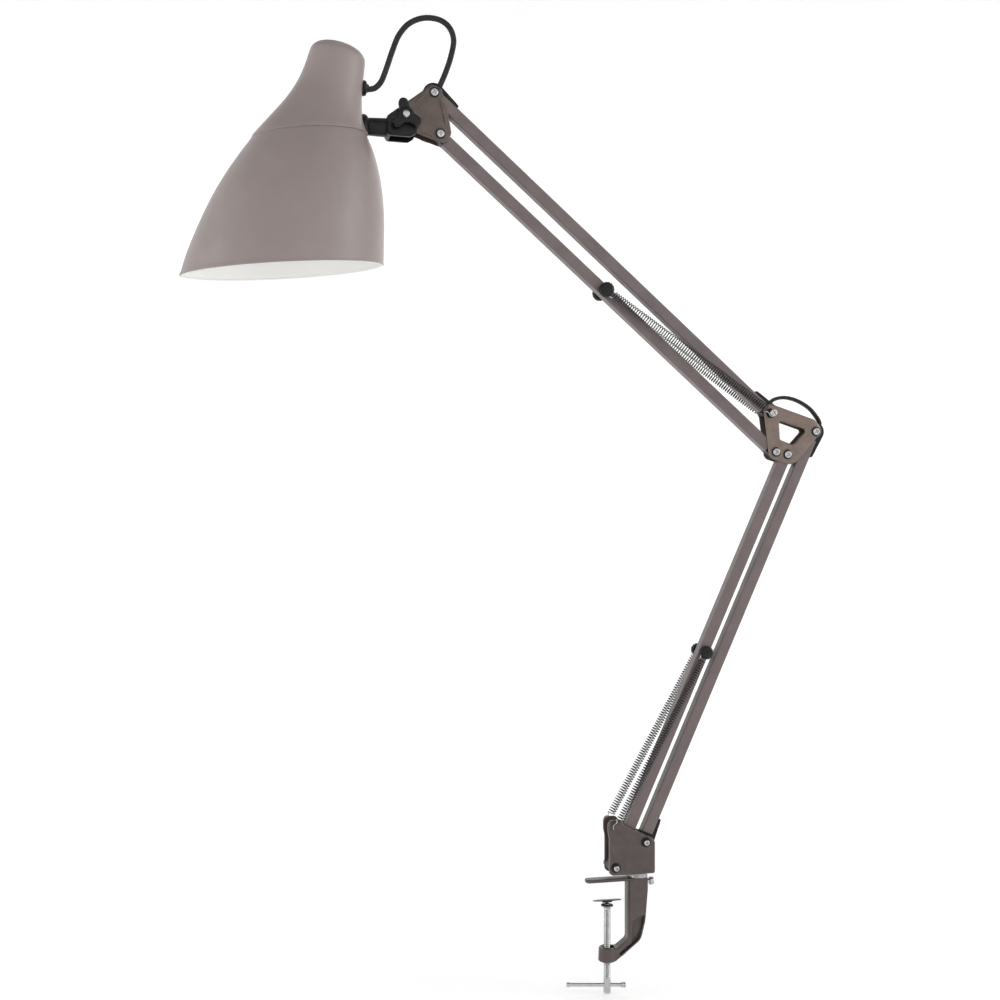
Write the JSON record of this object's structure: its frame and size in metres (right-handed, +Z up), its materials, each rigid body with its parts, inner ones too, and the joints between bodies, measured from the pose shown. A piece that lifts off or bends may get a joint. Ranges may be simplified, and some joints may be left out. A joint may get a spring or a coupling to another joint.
{
  "type": "swing arm desk lamp",
  "caption": "Clamp-on desk lamp with a swivelling base, two spring balanced parallelogram arms, a tilting head joint and a bell shade.",
  "frame": {"origin": "underside of the clamp's top jaw, on the axis of the clamp screw, where the table top's upper surface lies", "axes": "+Z up, +X from the clamp screw to the clamp's spine and the elbow, the arms in the XZ plane, the wing knob on the -Y side"},
  "size_m": [0.5585, 0.1654, 0.8303],
  "materials": {
    "shade_paint": "satin taupe",
    "bar_paint": "satin brown grey",
    "cast_paint": "semi gloss brown grey",
    "plate_paint": "semi gloss bronze",
    "black_plastic": "satin black",
    "chrome": "polished",
    "zinc_steel": "zinc plated",
    "spring_steel": "black oxide",
    "cable_sheath": "satin black",
    "holder_plastic": "white"
  },
  "bodies": {
    "clamp": {"clamp_frame": "cast_paint"},
    "post_lock": {"lock_screw": "chrome"},
    "hub": {"pad_hub": "zinc_steel"},
    "pad": {"clamp_pad": "zinc_steel"},
    "screw": {"clamp_screw": "chrome"},
    "handle": {"tommy_bar": "chrome", "tommy_cap": "chrome"},
    "base": {"base_shell_front": "cast_paint", "base_shell_rear": "cast_paint", "swivel_post": "zinc_steel", "swivel_washer": "zinc_steel", "spring_stud_front": "cast_paint", "spring_stud_rear": "cast_paint", "base_ring_outer": "black_plastic", "base_ring_inner": "black_plastic", "base_screw_outer": "chrome", "base_screw_inner": "chrome"},
    "lower_inner": {"lower_bar_inner": "bar_paint", "lower_bar_inner_foot": "black_plastic", "lower_bar_inner_tip": "black_plastic", "lower_knob_front": "black_plastic", "lower_knob_rear": "black_plastic", "lower_spring_front": "spring_steel", "lower_spring_rear": "spring_steel"},
    "lower_outer": {"lower_bar_outer": "bar_paint", "lower_bar_outer_foot": "black_plastic", "lower_bar_outer_tip": "black_plastic"},
    "elbow": {"elbow_plate_front": "plate_paint", "elbow_plate_rear": "plate_paint", "elbow_screw_a": "chrome", "elbow_nut_a": "zinc_steel", "elbow_screw_b": "chrome", "elbow_screw_c": "chrome", "elbow_screw_d": "chrome", "elbow_cable": "cable_sheath"},
    "upper_inner": {"upper_bar_inner": "bar_paint", "upper_bar_inner_foot": "black_plastic", "upper_bar_inner_tip": "black_plastic", "upper_knob_front": "black_plastic", "upper_knob_rear": "black_plastic", "upper_spring_front": "spring_steel", "upper_spring_rear": "spring_steel"},
    "upper_outer": {"upper_bar_outer": "bar_paint", "upper_bar_outer_foot": "black_plastic", "upper_bar_outer_tip": "black_plastic"},
    "head": {"head_plate_front": "plate_paint", "head_plate_rear": "plate_paint", "head_screw_outer": "chrome", "head_screw_inner": "chrome", "head_cable": "cable_sheath"},
    "knuckle": {"yoke": "black_plastic", "tilt_bolt": "chrome"},
    "wing": {"wing_knob": "black_plastic"},
    "shade": {"shade_bell": "shade_paint", "shade_neck": "shade_paint", "shade_collar": "black_plastic", "shade_stem": "zinc_steel", "cable_gland": "black_plastic", "lampholder": "holder_plastic"}
  },
  "joints": [
    {"name": "post_lock_turn", "type": "hinge", "parent": "clamp", "child": "post_lock", "pos_m": [0.037, 0, -0.002], "axis": [1, 0, 0], "range_deg": [0, 720]},
    {"name": "clamp_travel", "type": "slide", "parent": "clamp", "child": "hub", "axis": [0, 0, 1], "range_m": [-0.033, 0.0115]},
    {"name": "clamp_turn", "type": "hinge", "parent": "hub", "child": "screw", "pos_m": [0, 0, -0.06], "axis": [0, 0, 1], "range_deg": [-7900, 2700]},
    {"name": "pad_lean", "type": "hinge", "parent": "hub", "child": "pad", "pos_m": [0, 0, -0.018], "axis": [1, 0, 0], "range_deg": [0, 32]},
    {"name": "handle_slide", "type": "slide", "parent": "screw", "child": "handle", "axis": [0.9781, -0.2079, 0], "range_m": [-0.008, 0.028]},
    {"name": "base_swivel", "type": "hinge", "parent": "clamp", "child": "base", "pos_m": [0.028, 0, 0], "axis": [0, 0, 1], "continuous": true},
    {"name": "lower_swing", "type": "hinge", "parent": "base", "child": "lower_inner", "pos_m": [0.005, 0, 0.0137], "axis": [0, 1, 0], "range_deg": [-50, 8], "deforming": ["lower_spring_front", "lower_spring_rear"]},
    {"name": "lower_outer_swing", "type": "hinge", "parent": "base", "child": "lower_outer", "pos_m": [0.032, 0, 0.0343], "axis": [0, 1, 0], "range_deg": [-50, 8]},
    {"name": "elbow_level", "type": "hinge", "parent": "lower_inner", "child": "elbow", "pos_m": [0.16431, 0, 0.36902], "axis": [0, 1, 0], "range_deg": [-8, 50], "deforming": ["elbow_cable"]},
    {"name": "upper_swing", "type": "hinge", "parent": "elbow", "child": "upper_inner", "pos_m": [0.15331, 0, 0.37122], "axis": [0, 1, 0], "range_deg": [-60, 20], "deforming": ["upper_spring_front", "upper_spring_rear"]},
    {"name": "upper_outer_swing", "type": "hinge", "parent": "elbow", "child": "upper_outer", "pos_m": [0.14821, 0, 0.40522], "axis": [0, 1, 0], "range_deg": [-60, 20]},
    {"name": "head_level", "type": "hinge", "parent": "upper_inner", "child": "head", "pos_m": [-0.1466, 0, 0.63377], "axis": [0, 1, 0], "range_deg": [-20, 60]},
    {"name": "head_tilt", "type": "hinge", "parent": "head", "child": "knuckle", "pos_m": [-0.1767, 0, 0.64537], "axis": [0, 1, 0], "range_deg": [-20, 45], "deforming": ["head_cable"]},
    {"name": "wing_turn", "type": "hinge", "parent": "knuckle", "child": "wing", "pos_m": [-0.1767, -0.014, 0.64537], "axis": [0, -1, 0], "range_deg": [0, 360]},
    {"name": "shade_swivel", "type": "hinge", "parent": "knuckle", "child": "shade", "pos_m": [-0.2064, 0, 0.638], "axis": [1, 0, 0], "range_deg": [-90, 80]}
  ],
  "couplings": [
    {"joint": "clamp_travel", "follows": "clamp_turn", "m_per_rad": 0.00023873},
    {"joint": "lower_outer_swing", "follows": "lower_swing", "ratio": 1},
    {"joint": "elbow_level", "follows": "lower_swing", "ratio": -1},
    {"joint": "upper_outer_swing", "follows": "upper_swing", "ratio": 1},
    {"joint": "head_level", "follows": "upper_swing", "ratio": -1}
  ]
}
